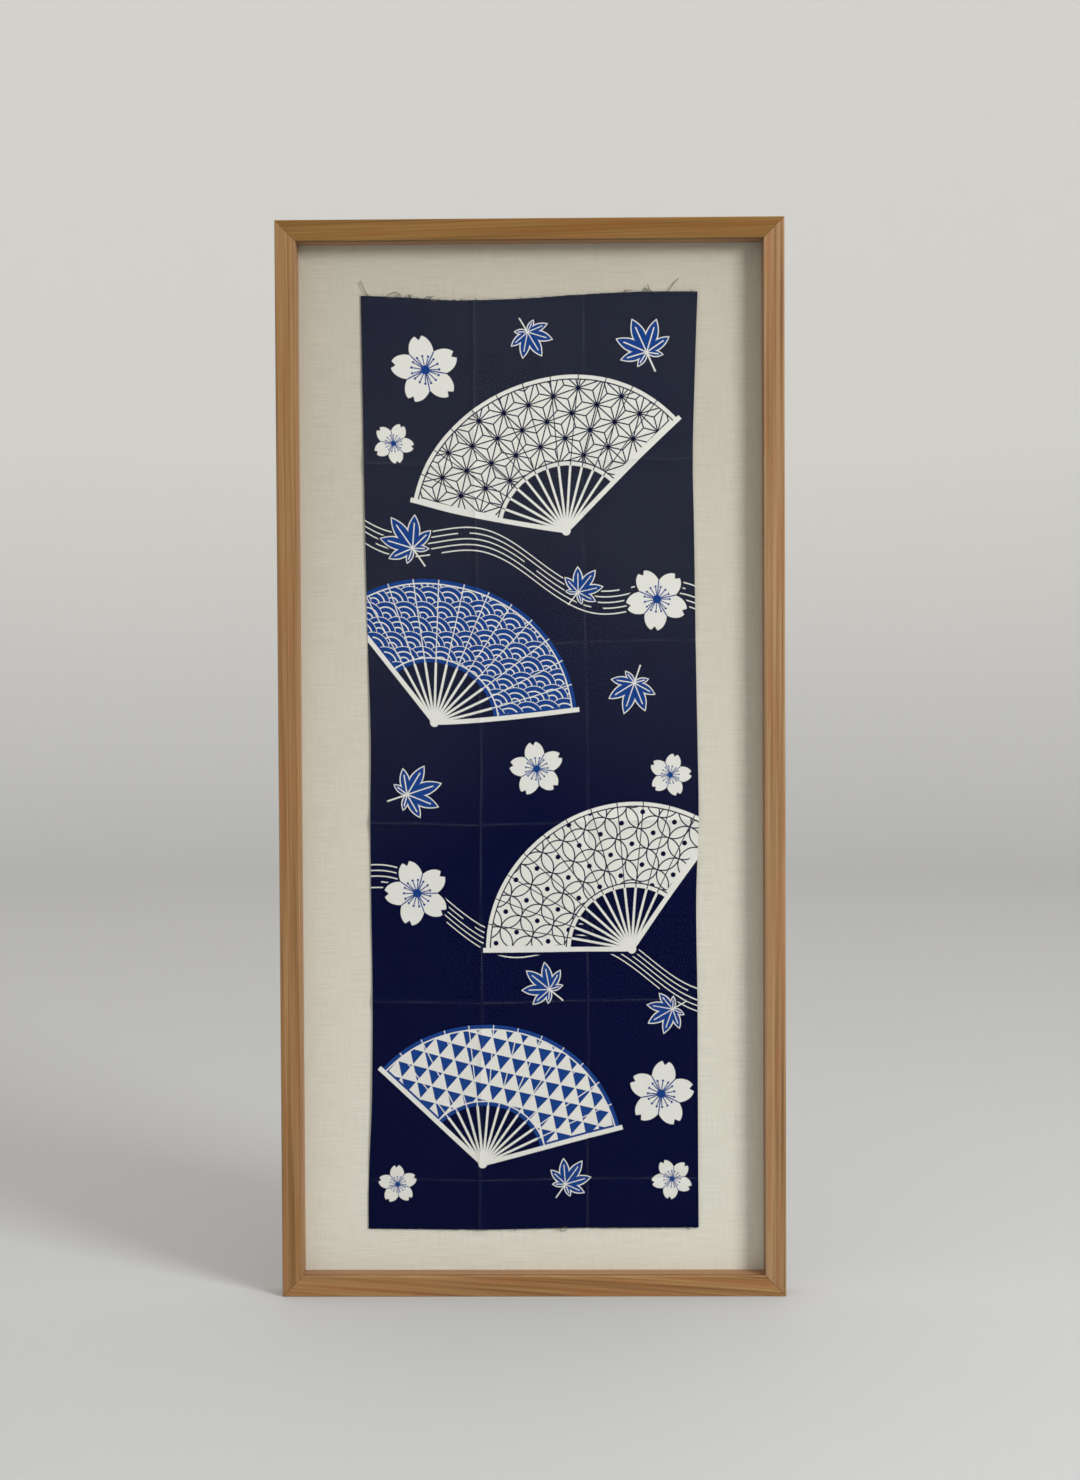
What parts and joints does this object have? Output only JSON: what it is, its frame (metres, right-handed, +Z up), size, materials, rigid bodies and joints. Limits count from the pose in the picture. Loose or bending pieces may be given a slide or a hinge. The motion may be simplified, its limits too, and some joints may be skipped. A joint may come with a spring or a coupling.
{
  "type": "tenugui towel in a wooden frame",
  "caption": "Long narrow indigo cotton towel with white and blue motifs, mounted flat on a linen board in a slim, deep oak frame behind a clear front.",
  "frame": {"origin": "on the surface the frame stands on, midway along its width and depth", "axes": "+Z up the towel's length, +X to the right as seen from the front, +Y from the clear front to the back board"},
  "size_m": [0.51, 0.035, 1.085],
  "materials": {
    "oak": "satin, straight light-brown grain",
    "oak_fillet": "satin, darker brown",
    "clear_sheet": "clear, glossy",
    "linen": "matt off-white slubby weave",
    "fibreboard": "plain brown fibreboard",
    "indigo_cotton": "matt plain weave, dyed indigo with white and mid-blue motifs"
  },
  "bodies": {
    "root": {"rail_top": "oak", "rail_bottom": "oak", "rail_left": "oak", "rail_right": "oak", "spacer_top": "oak_fillet", "spacer_bottom": "oak_fillet", "spacer_left": "oak_fillet", "spacer_right": "oak_fillet", "glazing": "clear_sheet", "mount_board": "linen", "back_board": "fibreboard", "towel": "indigo_cotton"}
  },
  "joints": []
}
